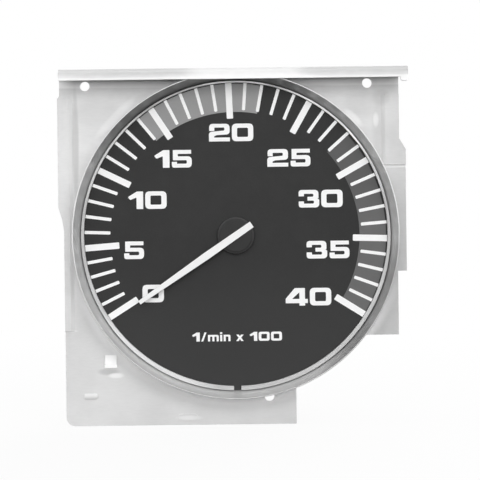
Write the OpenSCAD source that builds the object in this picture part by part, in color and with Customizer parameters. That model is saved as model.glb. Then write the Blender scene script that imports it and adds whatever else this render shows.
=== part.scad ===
/* [Pot] */
// Outer radius of the can behind the plate
can_r = 50; // [47:0.5:51]
// Sheet thickness of the pot
pot_wall = 0.8; // [0.6:0.1:1.2]
// Depth of the can behind the plate's rear face
can_depth = 34; // [32:1:60]
// Radius of the can's rear corner
can_corner_r = 2; // [1.5:0.5:4]
// Width of the shoulder that the dial rests on
shoulder_w = 1.1; // [1.1:0.1:1.6]
// Height of the rim above the plate's rear face
rim_h = 10.6; // [9:0.2:16]
// How far the rim flares out from seat to lip
rim_flare = 1.7; // [1.2:0.1:2]
// Radius of the rounded lip
lip_r = 0.2; // [0.15:0.05:0.3]
// How far the rolled lock bead stands out behind the plate
bead_out = 1; // [0.6:0.1:1.2]
// Radius of the pressed ring in the rear wall
rear_ring_r = 11; // [9:0.5:13]
// Width of the pressed ring in the rear wall
rear_ring_w = 2.4; // [1.5:0.1:3]

/* [Carrier plate] */
// Sheet thickness
plate_t = 1; // [0.8:0.1:1.4]
// Sheet left of the opening
left_margin = 8.4; // [7.8:0.2:12]
// Sheet left of the opening in the narrower lower part
left_margin_low = 6.6; // [4.8:0.2:7.2]
// Height where the left edge steps in
left_step_z = 8; // [0:1:20]
// Sheet right of the opening, above the shoulder
right_margin_high = 4.2; // [2.8:0.2:4.8]
// Sheet right of the opening in the widest part
right_margin = 6.3; // [5.3:0.2:9.9]
// Sheet right of the opening, below the widest part
right_margin_low = 3.4; // [1.8:0.2:4.8]
// Height of the shoulder on the right edge
right_shoulder_z = 30; // [26:1:34]
// Height where the right edge steps in again
right_step_z = -12.3; // [-14:0.1:-8]
// Lower end of the right side
right_end_z = -33.4; // [-36:0.1:-28]
// Sheet below the opening
bottom_margin = 12.3; // [10.8:0.5:15.8]
// Right edge of the bottom tab
bottom_tab_x = 19.4; // [17:0.2:24]
// Corner radius of the plate
plate_corner_r = 3; // [2:0.5:5]
// How far the side strips are pressed forward
strip_step = 0.7; // [0.4:0.1:0.8]
// How far the right pressed strip's inner edge lies inside the opening's radius
right_strip_in = 1.6; // [0.2:0.2:3.2]
// Lower end of the left pressed strip
left_strip_z = -31; // [-36:1:-24]
// Width of the sloping wall between a pressed strip and the plate
strip_slope_w = 1.2; // [0.8:0.1:1.6]

/* [Top flange] */
// Gap between the rim and the flange over it
flange_over = 0.2; // [0.2:0.1:2]
// Gap between the rim and the front strip before it
flange_before = 0.4; // [0.3:0.1:3]
// Height of the turned-down front strip
front_strip_h = 3.7; // [3:0.1:5]
// How far the flange's left end lies inside the plate's left edge
flange_short = 1.7; // [0.5:0.1:2.2]
// How far the flange's right end stands past the plate's right edge
flange_past = 1.9; // [0.8:0.1:4.2]
// Inside radius of the bends
bend_r = 0.8; // [0.5:0.1:1]
// Width of the hook at the strip's right end
hook_w = 2.4; // [2:0.1:4]
// Drop of the hook below the strip
hook_drop = 1.3; // [0.8:0.1:2]

/* [Holes and lug] */
// Radius of the screw holes
screw_hole_r = 1.6; // [1.2:0.1:1.8]
// Left top hole, from the plate's left edge
left_hole_in = 9.1; // [8.1:0.1:12.1]
// Right top hole, from the plate's right edge above the shoulder
right_hole_in = 10.4; // [8.4:0.1:12]
// Metal left between a top hole and the bend above it
top_hole_edge = 1; // [0.4:0.1:1.4]
// Lower hole, sideways
low_hole_x = 10.5; // [8:0.5:14]
// Lower hole, below the opening's edge
low_hole_out = 3.2; // [2.8:0.1:6.8]
// Distance of the lug from the opening
lug_out = 8.3; // [7.3:0.1:9.3]
// Width of the lanced lug
lug_w = 4.1; // [3:0.1:5]
// Length of the lanced lug
lug_l = 3; // [2:0.1:4]
// Rise of the lug's free end
lug_rise = 0.9; // [0.4:0.1:1.2]

/* [Dial] */
// Thickness of the dial plate
dial_t = 0.8; // [0.5:0.1:1.2]
// Radius of the hole in the dial's centre
dial_hole_r = 2.2; // [1.8:0.1:2.6]
// Readings between two long marks
long_every = 5; // [5:5:10]
// Width of a short mark
short_mark_w = 1.05; // [0.6:0.05:1.4]
// Width of a long mark
long_mark_w = 2.1; // [1.5:0.1:2.4]
// Inner radius of a short mark
short_mark_r = 41.4; // [40:0.2:44]
// Inner radius of a long mark
long_mark_r = 38.6; // [36:0.2:40]
// Thickness of the marks
mark_t = 0.1; // [0.05:0.01:0.15]
// Thickness of the coloured bands
band_t = 0.06; // [0.03:0.01:0.1]
// Inner radius of the coloured bands
band_r = 40.8; // [40:0.2:44]
// First reading of the light band
light_band_from = 14; // [10:1:16]
// Last reading of the light band
light_band_to = 22; // [20:1:26]
// First reading of the dark band
dark_band_from = 28; // [27:1:32]

/* [Retaining ring] */
// Thickness of the split ring
ring_t = 1.1; // [0.6:0.1:1.6]
// Width of the split ring halfway up its sides
ring_w = 1; // [0.8:0.1:1.4]
// How much wider the ring is at its split ends, and narrower at the top
ring_swell_w = 0.45; // [0:0.05:0.5]
// Gap between the ring's ends
ring_gap = 2.4; // [1:0.1:4]

/* [Pointer] */
// Length from the axis to the tip
pointer_l = 38.6; // [36:0.2:44]
// Length of the tail behind the axis
pointer_tail = 6.4; // [5:0.2:10]
// Width at the widest point
pointer_w = 2.5; // [1.8:0.1:3]
// Width of the tail's end
pointer_tail_w = 2.2; // [1.6:0.1:3]
// Width of the tip
pointer_tip_w = 1.4; // [0.8:0.1:2]
// Thickness
pointer_t = 0.5; // [0.3:0.1:0.8]
// Rest angle on the lower stop, clockwise from the top
pointer_rest = -124.2; // [-126:0.1:-123.5]
// Turn from the lower stop to the upper stop
pointer_travel = 249; // [240:1:250]
// Radius of the hub
hub_r = 6; // [4.5:0.5:8]
// Height of the hub
hub_t = 1.9; // [1.5:0.1:3]
// Gap between the dial and the hub
hub_gap = 0.5; // [0.4:0.1:1]

/* [Movement] */
// Radius of the spindle
spindle_r = 0.75; // [0.6:0.05:1]
// Radius of the rotor magnet
rotor_r = 6; // [4:0.5:6.5]
// Height of the rotor magnet
rotor_h = 6; // [4:0.5:8]
// Side of the square coil former
former_w = 20; // [19:0.5:24]
// Wall over the rotor at each end of the former
former_wall = 3.5; // [3:0.1:4]
// Thickness of each winding
coil_t = 1.5; // [1:0.1:2]
// Free slot in the middle of each winding
coil_slot = 5; // [4.6:0.2:6]
// Thickness of the bearing bridge
bridge_t = 1.2; // [1:0.1:2]
// Space for the stop arm between the bridge and the windings
stop_space = 2.6; // [2.4:0.1:4]
// Thickness of the stop arm
arm_t = 1; // [0.8:0.1:1.4]
// Length of the stop arm
arm_l = 6.4; // [6:0.2:8]
// Width of the stop arm
arm_w = 1.2; // [1:0.1:2]
// Radius of a stop pin
stop_pin_r = 0.6; // [0.5:0.05:0.8]
// Distance of the stop pins from the axis
stop_pin_at = 5.5; // [5:0.1:6]
// Radius of the shield can
shield_r = 17.6; // [17:0.2:20]
// Sheet thickness of the shield can
shield_wall = 0.6; // [0.4:0.1:1]

/* [Board and terminals] */
// Radius of the circuit board
board_r = 44; // [42:0.5:44.5]
// Thickness of the circuit board
board_t = 1.6; // [1.2:0.2:2]
// Length of the standoffs behind the board
standoff_l = 7; // [6:0.5:9]
// Width of a standoff across its flats
standoff_af = 5.5; // [5:0.1:6.5]
// Distance of the standoffs from the axis
standoff_at = 38; // [36:0.5:39]
// Radius of a screw's shank
shank_r = 1.45; // [1.2:0.05:1.6]
// Radius of a screw's head
head_r = 2.9; // [2.6:0.1:3.4]
// Height of a screw's head
head_h = 2; // [1.4:0.1:2.6]
// How far a screw reaches into a standoff
screw_grip = 2.8; // [2:0.1:2.9]
// Height of the terminal block, below the pointer axis
block_z = 22; // [21:0.5:22.5]
// Width of the terminal block's body
block_w = 25.6; // [24:0.2:28]
// Height of the terminal block's body
block_h = 7.6; // [6:0.2:8]
// Rim of the terminal block's flange
block_rim = 2.2; // [1.5:0.1:3]
// Thickness of the terminal block's flange
block_flange_t = 2; // [1.5:0.1:3]
// Distance between two tabs
tab_pitch = 8; // [7.6:0.1:8.4]
// Width of a tab
tab_w = 6.3; // [4.8:0.1:6.4]
// Thickness of a tab
tab_t = 0.8; // [0.5:0.1:1]
// Free length of a tab behind the block
tab_l = 8; // [6:0.5:12]
// Height of the larger capacitors
cap_h = 11; // [8:0.5:16]
// Radius of the capacitors
cap_r = 4; // [3:0.25:4.5]
// Radius of a resistor
resistor_r = 1.15; // [0.9:0.05:1.3]
// Length of a resistor
resistor_l = 6.3; // [5:0.1:7]
// Length over a resistor's bent wires
resistor_span = 9.4; // [8.4:0.2:12]
// Radius of the diode
diode_r = 1.3; // [1:0.05:1.6]
// Length of the diode
diode_l = 5; // [4:0.1:6]
// Length over the diode's bent wires
diode_span = 8.4; // [7.4:0.2:11]

/* [Hidden] */
$fn = 96;

// Fits: press_gap between pieces pushed together, run_gap round a turning spindle, slip_gap where one piece
// drops into another, stop_gap between the arm and a pin at the end of its travel.
press_gap = 0.02;
run_gap = 0.03;
slip_gap = 0.1;
opening_gap = 0.2;
stop_gap = 0.05;
eps = 0.01;

// Heights are counted forward from the plate's rear face, so a height h lies at y = -h.
seat_h = plate_t + pot_wall;
dial_face = seat_h + dial_t;
collar_r = can_r + shoulder_w;
opening_r = can_r + opening_gap;
floor_out = -can_depth;
floor_in = floor_out + pot_wall;
recess_depth = 0.4;
bead_gap = 0.3;
bead_h = 0.7;
bead_back = recess_depth - bead_h;
bead_slope = 0.25;
rear_press = 0.6;
lip_out_r = collar_r + rim_flare + 2 * lip_r;

// Plate edges that follow the opening, the rim and the flange
plate_left = opening_r + left_margin;
plate_left_low = opening_r + left_margin_low;
plate_right_high = opening_r + right_margin_high;
plate_right = opening_r + right_margin;
plate_right_low = opening_r + right_margin_low;
plate_bottom = opening_r + bottom_margin;
flange_left = plate_left - flange_short;
corner_past_flange = 1.1;
flange_right = plate_right_high + flange_past;
flange_top = lip_out_r + flange_over + plate_t;
flange_depth = rim_h + flange_before + plate_t;
plate_top = flange_top - plate_t - bend_r;
top_hole_z = plate_top - screw_hole_r - top_hole_edge;
strip_gap = 0.5;
strip_below_hole = 2.4;
strip_top_z = top_hole_z - screw_hole_r - strip_below_hole;
left_strip_x = lip_out_r + strip_gap;
right_strip_x = opening_r - right_strip_in;
right_strip_z = sqrt(pow(left_strip_x, 2) - pow(right_strip_x, 2));
hook_corner_r = 0.8;
top_hole_left = plate_left - left_hole_in;
top_hole_right = plate_right_high - right_hole_in;
low_hole_z = opening_r + low_hole_out;
lug_angle = 45.9;
LUG_AT = -(opening_r + lug_out) * [sin(lug_angle), cos(lug_angle)];
lug_slope = 0.4;
lug_slot_extra = 1.2;
// Pressed bars as x, z and length
PRESSED_BARS = [[8.1 - plate_left_low, 9.8 - plate_bottom, 4.9], [-16.6, 2.6 - plate_bottom, 6.6]];
pressed_bar_w = 2;
pressed_bar_rise = 0.4;

// Dial readings and their angles, clockwise from the top: the printed scale isn't even.
CALIBRATION = [[0, -122.3], [5, -94.2], [10, -63.9], [15, -33.3], [20, -2.2], [25, 29.5], [30, 60.7],
    [35, 91.7], [40, 122.2]];
scale_end = 40;
function reading_angle(reading) = lookup(reading, CALIBRATION);
ring_out_r = collar_r - slip_gap;
ring_in_r = ring_out_r - ring_w;
mark_gap = 0.1;
function mark_end(angle) = ring_in_r + ring_swell_w * cos(angle) - mark_gap;

// Stack of the movement, from the dial back to the board.
bridge_back = seat_h - bridge_t;
outer_coil_front = bridge_back - stop_space;
inner_coil_front = outer_coil_front - coil_t;
former_front = inner_coil_front - coil_t;
rotor_gap = 0.5;
rotor_front = former_front - former_wall - rotor_gap;
rotor_back = rotor_front - rotor_h;
former_back = rotor_back - rotor_gap - former_wall;
former_split = (rotor_front + rotor_back) / 2;
board_back = floor_in + standoff_l;
board_front = board_back + board_t;
bearing_r = 2;
bearing_flange_w = 1;
bearing_flange_t = 0.8;
spindle_back = former_back + 1.5;
end_gap = 0.05;
arm_eye_w = 1;
hub_back = dial_face + hub_gap;
hub_front = hub_back + hub_t;
hub_cap = 0.4;
hub_chamfer = 0.4;
hub_round = 1;
spindle_front = hub_front - hub_cap;
pointer_widest = 0.3;
arm_front = bridge_back - bearing_flange_t - 0.3;
corner_room = 1.5;
coil_reach = former_w / 2 - corner_room;
post_w = corner_room - opening_gap;
former_corner_r = 1;
bridge_corner_r = 2;
arm_rest = pointer_rest + 180;
stop_lead = asin((arm_w / 2 + stop_pin_r + stop_gap) / stop_pin_at);
STOP_ANGLES = [arm_rest - stop_lead, arm_rest + pointer_travel + stop_lead];
STANDOFF_ANGLES = [0, 120, 240];
TAB_PLACES = [-tab_pitch, 0, tab_pitch];
CHIP_AT = [-30, 4];
CAP_PLACES = [[27, 16], [31, 4]];
DIODE_AT = [-24, -22];
TRIMMER_AT = [21, -25];
RESISTOR_ROW_Z = 27;
RESISTOR_PITCH = 5;
RESISTOR_COUNT = 6;
tab_tail_w = 2;
tab_tail_out = 1;
tab_tip_chamfer = 1;
tab_hole_r = 0.8;
chip_w = 6.4;
chip_l = 19.4;
chip_h = 3.4;
chip_gap = 0.5;
pin_pitch = 2.54;
PIN_ROWS = 8;
pin_w = 0.5;
pin_out = 0.6;
cap_groove = 0.3;
cap_groove_at = 1.5;
wire_w = 0.6;
trimmer_w = 9.5;
trimmer_h = 4.8;
trimmer_knob_r = 2.4;
trimmer_knob_h = 0.8;
slot_w = 0.8;
block_corner_r = 1.5;
block_back = floor_out - block_flange_t;

// A flat shape drawn as seen from the front, from height h forward by t
module slab(h, t)
    translate([0, -h, 0]) rotate([90, 0, 0]) linear_extrude(t) children();

// A shape turned about the pointer axis from its section, drawn as radius and height
module turned(turn = 360)
    rotate([90, 0, 0]) rotate_extrude(angle = turn, $fn = 180) children();

// A round bar along the pointer axis between two heights
module bar(r, back, front)
    translate([0, -back, 0]) rotate([90, 0, 0]) cylinder(r = r, h = front - back);

// A tube along the pointer axis
module tube(r, bore, back, front)
    difference() {
        bar(r, back, front);
        bar(bore, back - 1, front + 1);
    }

module at(x, z)
    translate([x, 0, z]) children();

module rounded_square(w, r)
    rounded_box(w, w, r);

module rounded_box(w, h, r) {
    square([w - 2 * r, h], center = true);
    square([w, h - 2 * r], center = true);
    for (x = [-1, 1], y = [-1, 1])
        translate([x * (w / 2 - r), y * (h / 2 - r)]) circle(r, $fn = 32);
}

// Points of an arc about a centre, for turned sections
function arc(centre, r, from, to, steps = 8) =
    [for (i = [0:steps]) let (angle = from + (to - from) * i / steps) centre + r * [cos(angle), sin(angle)]];

// Sheet section drawn as sideways place and height, carried up from one height to another
module along_z(from, to)
    translate([0, 0, from]) linear_extrude(to - from) mirror([0, 1]) children();

// Section drawn as height forward and z, carried sideways from one x to another
module along_x(from, to)
    translate([from, 0, 0]) rotate([90, 0, 90]) linear_extrude(to - from) mirror([1, 0]) children();

module quarter_bend(inner, thickness)
    intersection() {
        difference() {
            circle(inner + thickness);
            circle(inner);
        }
        square(inner + thickness);
    }

// Outline of the plate with its missing lower right corner, before any hole is cut
module plate_outline() {
    edge_z = strip_top_z;
    corner_x = flange_left + corner_past_flange;
    polygon(concat(
        [[-corner_x, plate_top], [-corner_x, edge_z + 1], [-plate_left, edge_z],
            [-plate_left, left_step_z + 2], [-plate_left_low - 0.6, left_step_z - 2],
            [-plate_left_low, left_step_z - 6]],
        arc([-plate_left_low + plate_corner_r, -plate_bottom + plate_corner_r], plate_corner_r, 180, 270),
        [[bottom_tab_x, -plate_bottom], [bottom_tab_x, right_end_z], [plate_right_low, right_end_z],
            [plate_right_low, right_step_z], [plate_right, right_step_z], [plate_right, right_shoulder_z - 2],
            [plate_right_high, right_shoulder_z + 1.5], [plate_right_high, plate_top]]
    ));
}

module strip_region(from_x, to_x, from_z, to_z)
    translate([from_x, from_z]) square([to_x - from_x, to_z - from_z]);

// A side strip pressed forward, with its sloping wall; side is -1 on the left and 1 on the right
module pressed_strip(side, inner_x, outer_x, from_z, to_z)
    along_z(from_z, to_z)
        scale([side, 1])
            polygon([[inner_x, 0], [inner_x + strip_slope_w, strip_step], [outer_x, strip_step],
                [outer_x, strip_step + plate_t], [inner_x + strip_slope_w, strip_step + plate_t],
                [inner_x, plate_t]]);

module pressed_bar_shape(place)
    translate([place[0], place[1]]) {
        square([place[2] - pressed_bar_w, pressed_bar_w], center = true);
        for (side = [-1, 1])
            translate([side * (place[2] - pressed_bar_w) / 2, 0]) circle(pressed_bar_w / 2, $fn = 32);
    }

// The plate's sheet: flat, with both side strips pressed forward
module sheet() {
    outer = max(plate_left, plate_right) + 1;
    slab(0, plate_t)
        difference() {
            plate_outline();
            strip_region(-outer, -left_strip_x, left_strip_z, strip_top_z);
            strip_region(right_strip_x, outer, right_strip_z, strip_top_z);
        }
    intersection() {
        union() {
            pressed_strip(-1, left_strip_x, outer, left_strip_z, strip_top_z);
            pressed_strip(1, right_strip_x, outer, right_strip_z, strip_top_z);
        }
        slab(-1, plate_t + strip_step + 2) plate_outline();
    }
}

module top_flange() {
    bend_at = plate_t + bend_r;
    along_x(-flange_left, flange_right) {
        translate([bend_at, plate_top]) mirror([1, 0]) quarter_bend(bend_r, plate_t);
        translate([bend_at, flange_top - plate_t]) square([flange_depth - 2 * bend_at, plate_t]);
        translate([flange_depth - bend_at, plate_top]) quarter_bend(bend_r, plate_t);
        translate([flange_depth - plate_t, flange_top - front_strip_h])
            square([plate_t, plate_top - flange_top + front_strip_h]);
    }
    hook_foot = flange_top - front_strip_h - hook_drop;
    slab(flange_depth - plate_t, plate_t)
        translate([flange_right - hook_w / 2, (hook_foot + plate_top) / 2])
            rounded_box(hook_w, plate_top - hook_foot, hook_corner_r);
}

// The lanced lug rises towards its free lower end, over the slot that it came from
module lanced_lug()
    along_x(LUG_AT[0] - lug_w / 2, LUG_AT[0] + lug_w / 2)
        polygon([[0, LUG_AT[1] + lug_l / 2], [plate_t, LUG_AT[1] + lug_l / 2 + lug_slope],
            [plate_t + lug_rise, LUG_AT[1] - lug_l / 2 + lug_slope],
            [plate_t + lug_rise, LUG_AT[1] - lug_l / 2], [lug_rise, LUG_AT[1] - lug_l / 2]]);

module carrier_plate() {
    slot_l = lug_l + lug_slot_extra;
    color("gainsboro") union() {
        difference() {
            union() {
                sheet();
                slab(plate_t - eps, pressed_bar_rise + eps)
                    for (place = PRESSED_BARS) pressed_bar_shape(place);
            }
            bar(opening_r, -1, plate_t + 1);
            bar(can_r + bead_out + bead_gap, -1, recess_depth);
            at(-top_hole_left, top_hole_z) bar(screw_hole_r, -1, plate_t + 1);
            at(top_hole_right, top_hole_z) bar(screw_hole_r, -1, plate_t + 1);
            at(low_hole_x, -low_hole_z) bar(screw_hole_r, -1, plate_t + 1);
            slab(-1, plate_t + 2)
                translate([LUG_AT[0], LUG_AT[1] + lug_l / 2 - slot_l / 2])
                    square([lug_w + 2 * slip_gap, slot_l], center = true);
            slab(-1, pressed_bar_rise + 1)
                for (place = PRESSED_BARS) pressed_bar_shape(place);
        }
        top_flange();
        lanced_lug();
    }
}

// Section of the pot from the middle of its rear wall out to the lip and back down the inside
function pot_section() =
    let (
        corner = [can_r - can_corner_r, floor_out + can_corner_r],
        lip = [collar_r + rim_flare + lip_r, rim_h - lip_r],
        ring_in = rear_ring_r - rear_ring_w / 2,
        ring_out = rear_ring_r + rear_ring_w / 2
    )
    concat(
        [[0, floor_out], [ring_in - rear_press, floor_out], [ring_in, floor_out + rear_press],
            [ring_out, floor_out + rear_press], [ring_out + rear_press, floor_out]],
        arc(corner, can_corner_r, -90, 0),
        [[can_r, bead_back], [can_r + bead_out, bead_back + bead_slope], [can_r + bead_out, recess_depth],
            [can_r, recess_depth], [can_r, plate_t], [collar_r + pot_wall, plate_t]],
        arc(lip, lip_r, -60, 180, 12),
        [[collar_r, seat_h], [can_r - pot_wall, seat_h]],
        arc(corner, can_corner_r - pot_wall, 0, -90),
        [[ring_out + rear_press, floor_in], [ring_out, floor_in + rear_press],
            [ring_in, floor_in + rear_press], [ring_in - rear_press, floor_in], [0, floor_in]]
    );

module instrument_pot()
    color("silver")
        difference() {
            turned() polygon(pot_section());
            for (angle = STANDOFF_ANGLES)
                rotate([0, angle, 0]) at(0, standoff_at) bar(shank_r + slip_gap, floor_out - 1, floor_in + 1);
            slab(floor_out - 1, pot_wall + 2)
                translate([0, -block_z])
                    square([block_w + 2 * slip_gap, block_h + 2 * slip_gap], center = true);
        }

module dial_plate()
    color("dimgray") tube(collar_r - slip_gap, dial_hole_r, seat_h, dial_face);

// One mark as a bar from its inner radius to the ring, at its reading's angle
module mark(reading) {
    long = reading % long_every == 0;
    inner = long ? long_mark_r : short_mark_r;
    width = long ? long_mark_w : short_mark_w;
    angle = reading_angle(reading);
    rotate(-angle) translate([-width / 2, inner]) square([width, mark_end(angle) - inner]);
}

module marks(from, to)
    for (reading = [from:to]) mark(reading);

module scale_marks()
    color("white") slab(dial_face, mark_t) marks(0, scale_end);

// A coloured band between two readings, left open where the marks are printed
module band(from, to) {
    from_angle = reading_angle(from);
    to_angle = reading_angle(to);
    outer = min(mark_end(from_angle), mark_end(to_angle)) - mark_gap;
    difference() {
        rotate([0, to_angle - 90, 0])
            turned(to_angle - from_angle)
                translate([band_r, dial_face]) square([outer - band_r, band_t]);
        slab(dial_face - 1, 2) marks(from, to);
    }
}

module economy_band()
    color("darkgray") band(light_band_from, light_band_to);

module overspeed_band()
    color("gray") band(dark_band_from, scale_end);

// The ring is thicker at its split ends, as its bore sits higher than its rim
module retaining_ring()
    color("whitesmoke")
        slab(dial_face, ring_t)
            difference() {
                circle(ring_out_r, $fn = 180);
                translate([0, ring_swell_w]) circle(ring_in_r, $fn = 180);
                translate([-ring_gap / 2, -can_r - 5]) square([ring_gap, 10]);
            }

module pointer()
    color("white")
        rotate([0, pointer_rest, 0])
            slab(hub_front, pointer_t)
                polygon([[-pointer_tail_w / 2, -pointer_tail], [-pointer_w / 2, pointer_l * pointer_widest],
                    [-pointer_tip_w / 2, pointer_l], [pointer_tip_w / 2, pointer_l],
                    [pointer_w / 2, pointer_l * pointer_widest], [pointer_tail_w / 2, -pointer_tail]]);

module pointer_hub()
    color("#202020")
        difference() {
            turned() polygon(concat(
                [[0, hub_back], [hub_r - hub_chamfer, hub_back], [hub_r, hub_back + hub_chamfer]],
                arc([hub_r - hub_round, hub_front - hub_round], hub_round, 0, 90), [[0, hub_front]]));
            bar(spindle_r + press_gap, hub_back - 1, spindle_front);
        }

module spindle()
    color("silver") bar(spindle_r, spindle_back, spindle_front);

module rotor_magnet()
    color("#404048") tube(rotor_r, spindle_r + press_gap, rotor_back, rotor_front);

// The arm balances the pointer and meets a pin at each end of the travel
module stop_arm()
    color("goldenrod")
        rotate([0, arm_rest, 0])
            slab(arm_front - arm_t, arm_t)
                difference() {
                    union() {
                        circle(spindle_r + arm_eye_w);
                        translate([-arm_w / 2, 0]) square([arm_w, arm_l]);
                    }
                    circle(spindle_r + press_gap);
                }

module stop_pins()
    color("goldenrod")
        for (angle = STOP_ANGLES)
            rotate([0, angle, 0]) at(0, stop_pin_at) bar(stop_pin_r, arm_front - arm_t - opening_gap, seat_h);

module front_bearing()
    color("goldenrod")
        difference() {
            union() {
                bar(bearing_r - press_gap, bridge_back, seat_h);
                bar(bearing_r + bearing_flange_w, bridge_back - bearing_flange_t, bridge_back);
            }
            bar(spindle_r + run_gap, bridge_back - 2, seat_h + 1);
        }

module bearing_bridge()
    color("goldenrod")
        difference() {
            slab(bridge_back, bridge_t) rounded_square(former_w, bridge_corner_r);
            bar(bearing_r, bridge_back - 1, seat_h + 1);
            for (angle = STOP_ANGLES)
                rotate([0, angle, 0])
                    at(0, stop_pin_at) bar(stop_pin_r + press_gap, bridge_back - 1, seat_h + 1);
        }

module rear_bearing()
    color("goldenrod")
        difference() {
            bar(bearing_r - press_gap, former_back, rotor_back - rotor_gap);
            bar(spindle_r + run_gap, spindle_back - end_gap, rotor_back);
        }

// Four posts at the corners of the former, clear of both windings
module posts(back, front)
    slab(back, front - back)
        intersection() {
            rounded_square(former_w, former_corner_r);
            for (x = [-1, 1], z = [-1, 1])
                translate([x * (former_w - post_w) / 2, z * (former_w - post_w) / 2])
                    square(post_w, center = true);
        }

module coil_former_front()
    color("#303030") union() {
        difference() {
            slab(former_split, former_front - former_split) rounded_square(former_w, former_corner_r);
            bar(rotor_r + rotor_gap, former_split - 1, rotor_front + rotor_gap);
            bar(spindle_r + rotor_gap, former_split - 1, former_front + 1);
        }
        posts(former_front, bridge_back);
    }

module coil_former_rear()
    color("#303030") union() {
        difference() {
            slab(former_back, former_split - former_back) rounded_square(former_w, former_corner_r);
            bar(rotor_r + rotor_gap, rotor_back - rotor_gap, former_split + 1);
            bar(bearing_r, former_back - 1, former_split);
        }
        posts(board_front, former_back);
    }

// Section of a winding that goes round the former, over its front and rear faces
module winding_section(first) {
    lift = first ? 0 : coil_t;
    length = former_front - former_back + 2 * lift;
    difference() {
        rounded_box(length + 2 * coil_t, former_w + 2 * coil_t, coil_t);
        square([length, former_w], center = true);
    }
}

// The two halves of a winding, either side of the spindle
module inner_coil()
    color("peru")
        for (side = [-1, 1])
            along_x(side * (coil_slot / 2 + coil_reach) / 2 - (coil_reach - coil_slot / 2) / 2,
                side * (coil_slot / 2 + coil_reach) / 2 + (coil_reach - coil_slot / 2) / 2)
                translate([(former_front + former_back) / 2, 0]) winding_section(true);

module outer_coil()
    color("peru")
        for (side = [-1, 1])
            along_z(side * (coil_slot / 2 + coil_reach) / 2 - (coil_reach - coil_slot / 2) / 2,
                side * (coil_slot / 2 + coil_reach) / 2 + (coil_reach - coil_slot / 2) / 2)
                translate([0, (former_front + former_back) / 2]) rotate(90) winding_section(false);

module shield_can()
    color("lightslategray") tube(shield_r, shield_r - shield_wall, board_front, outer_coil_front);

module circuit_board()
    color("darkolivegreen")
        difference() {
            bar(board_r, board_back, board_front);
            for (angle = STANDOFF_ANGLES)
                rotate([0, angle, 0])
                    at(0, standoff_at) bar(shank_r + slip_gap, board_back - 1, board_front + 1);
            slab(board_back - 1, board_t + 2)
                for (x = TAB_PLACES)
                    translate([x, -block_z])
                        square([tab_tail_w + 2 * slip_gap, tab_t + 2 * slip_gap], center = true);
        }

module driver_chip()
    color("#252525")
        at(CHIP_AT[0], CHIP_AT[1]) {
            slab(board_front + chip_gap, chip_h) square([chip_w, chip_l], center = true);
            for (row = [0:PIN_ROWS - 1], side = [-1, 1])
                slab(board_front, chip_h / 2 + chip_gap)
                    translate([side * (chip_w + pin_out) / 2, (row - (PIN_ROWS - 1) / 2) * pin_pitch])
                        square([pin_out, pin_w], center = true);
        }

module capacitors()
    color("steelblue")
        for (place = CAP_PLACES)
            at(place[0], place[1])
                turned() polygon([[0, board_front], [cap_r, board_front],
                    [cap_r, board_front + cap_groove_at - cap_groove],
                    [cap_r - cap_groove, board_front + cap_groove_at],
                    [cap_r, board_front + cap_groove_at + cap_groove],
                    [cap_r, board_front + cap_h - cap_groove], [cap_r - cap_groove, board_front + cap_h],
                    [0, board_front + cap_h]]);

// A part with a wire out of each end, bent down to the board
module wired_part(r, body_l, wire_l) {
    lift = board_front + r + chip_gap;
    translate([0, -lift, 0]) cylinder(r = r, h = body_l, center = true);
    slab(lift - wire_w / 2, wire_w) square([wire_w, wire_l], center = true);
    for (end = [-1, 1])
        slab(board_front, lift - board_front)
            translate([0, end * (wire_l - wire_w) / 2]) square(wire_w, center = true);
}

module resistors()
    color("tan")
        for (i = [0:RESISTOR_COUNT - 1])
            at((i - (RESISTOR_COUNT - 1) / 2) * RESISTOR_PITCH, RESISTOR_ROW_Z)
                wired_part(resistor_r, resistor_l, resistor_span);

module diode()
    color("#181818") at(DIODE_AT[0], DIODE_AT[1]) rotate([0, 90, 0]) wired_part(diode_r, diode_l, diode_span);

module calibration_trimmer()
    color("royalblue")
        at(TRIMMER_AT[0], TRIMMER_AT[1])
            difference() {
                union() {
                    slab(board_front, trimmer_h) square(trimmer_w, center = true);
                    bar(trimmer_knob_r, board_front + trimmer_h, board_front + trimmer_h + trimmer_knob_h);
                }
                slab(board_front + trimmer_h + trimmer_knob_h / 4, trimmer_knob_h)
                    square([slot_w, 3 * trimmer_knob_r], center = true);
            }

module board_standoffs()
    color("goldenrod")
        for (angle = STANDOFF_ANGLES)
            rotate([0, angle, 0])
                at(0, standoff_at)
                    difference() {
                        translate([0, -floor_in, 0]) rotate([90, 0, 0])
                            cylinder(d = standoff_af / cos(30), h = standoff_l, $fn = 6);
                        bar(shank_r + press_gap, floor_in - 1, board_back + 1);
                    }

// A pan-head screw whose head stands on the face at height 0 and whose shank goes back from it
module pan_screw(shank_l)
    difference() {
        turned() polygon([[0, -shank_l], [shank_r, -shank_l], [shank_r, 0], [head_r, 0],
            [head_r, head_h * 0.5], [head_r * 0.8, head_h * 0.9], [head_r * 0.4, head_h], [0, head_h]]);
        slab(head_h * 0.5, head_h) square([slot_w, 3 * head_r], center = true);
    }

module board_screws()
    color("silver")
        for (angle = STANDOFF_ANGLES)
            rotate([0, angle, 0])
                translate([0, -board_front, standoff_at]) pan_screw(board_t + screw_grip);

module rear_screws()
    color("silver")
        for (angle = STANDOFF_ANGLES)
            rotate([0, angle, 0])
                translate([0, -floor_out, standoff_at]) mirror([0, 1, 0]) pan_screw(pot_wall + screw_grip);

module terminal_block()
    color("#1c1c1c")
        difference() {
            at(0, -block_z) {
                slab(block_back, block_flange_t)
                    rounded_box(block_w + 2 * block_rim, block_h + 2 * block_rim, block_corner_r);
                slab(floor_out, board_back - floor_out) square([block_w, block_h], center = true);
            }
            slab(block_back - 1, board_back - block_back + 2)
                for (x = TAB_PLACES)
                    translate([x, -block_z])
                        square([tab_w + 2 * press_gap, tab_t + 2 * press_gap], center = true);
        }

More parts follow.
